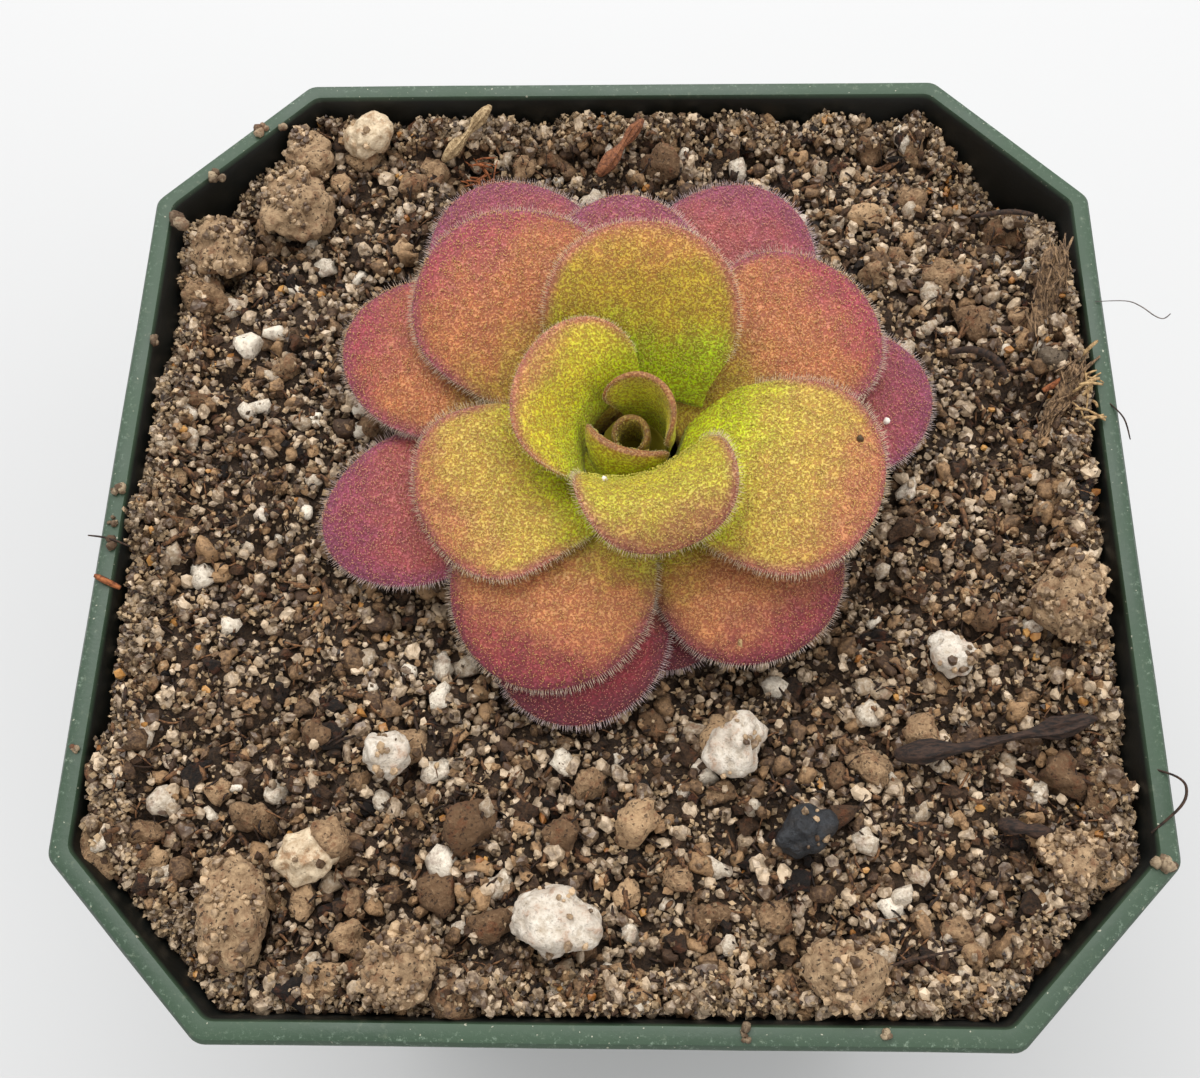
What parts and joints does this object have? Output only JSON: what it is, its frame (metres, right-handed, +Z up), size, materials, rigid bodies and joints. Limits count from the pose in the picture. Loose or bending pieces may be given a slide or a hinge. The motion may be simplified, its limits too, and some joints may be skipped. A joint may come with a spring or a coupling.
{
  "type": "potted butterwort",
  "caption": "Butterwort rosette of thick rounded leaves, yellow-green inside and purple-red outside, in a square green nursery pot of gritty soil.",
  "frame": {"origin": "middle of the pot's flat underside", "axes": "+Z up out of the pot's mouth; +X and +Y square to the pot's straight sides; the picture looks along +Y from the front, near -Y"},
  "size_m": [0.076, 0.076, 0.0793],
  "materials": {
    "pot_plastic": "satin moulded plastic, dull green, lightly scuffed",
    "soil_grit": "rough mix of coarse sand, pumice, perlite and dark peat",
    "crown_stem": "matt living stem tissue",
    "leaf_old": "soft waxy leaf flesh, purple-red, fine glands and hairs",
    "leaf_middle": "soft waxy leaf flesh, orange-pink, fine glands and hairs",
    "leaf_young": "soft waxy leaf flesh, yellow-green with pink margin",
    "pumice": "rough porous tan stone",
    "perlite": "rough white expanded mineral",
    "quartz": "rough pale grain",
    "charcoal": "matt black",
    "twig_bark": "dry fibrous stem",
    "bark": "rough fibrous bark"
  },
  "bodies": {
    "root": {"pot": "pot_plastic", "soil": "soil_grit", "crown": "crown_stem", "leaf_01": "leaf_old", "leaf_02": "leaf_old", "leaf_03": "leaf_old", "leaf_04": "leaf_old", "leaf_05": "leaf_old", "leaf_06": "leaf_old", "leaf_07": "leaf_old", "leaf_08": "leaf_middle", "leaf_09": "leaf_middle", "leaf_10": "leaf_middle", "leaf_11": "leaf_middle", "leaf_12": "leaf_middle", "leaf_13": "leaf_young", "leaf_14": "leaf_young", "leaf_15": "leaf_young", "leaf_16": "leaf_young", "leaf_17": "leaf_young", "leaf_18": "leaf_young", "leaf_19": "leaf_young", "leaf_20": "leaf_young", "pumice_1": "pumice", "pumice_2": "pumice", "pumice_3": "pumice", "pumice_4": "pumice", "pumice_5": "pumice", "pumice_6": "pumice", "pumice_7": "pumice", "pumice_8": "pumice", "perlite_1": "perlite", "perlite_2": "perlite", "perlite_3": "perlite", "perlite_4": "perlite", "quartz_1": "quartz", "quartz_2": "quartz", "charcoal_1": "charcoal", "twig_long": "twig_bark", "twig_short": "twig_bark", "straw_pale": "twig_bark", "straw_red": "twig_bark", "bark_strip": "bark", "bark_flake": "bark"}
  },
  "joints": []
}
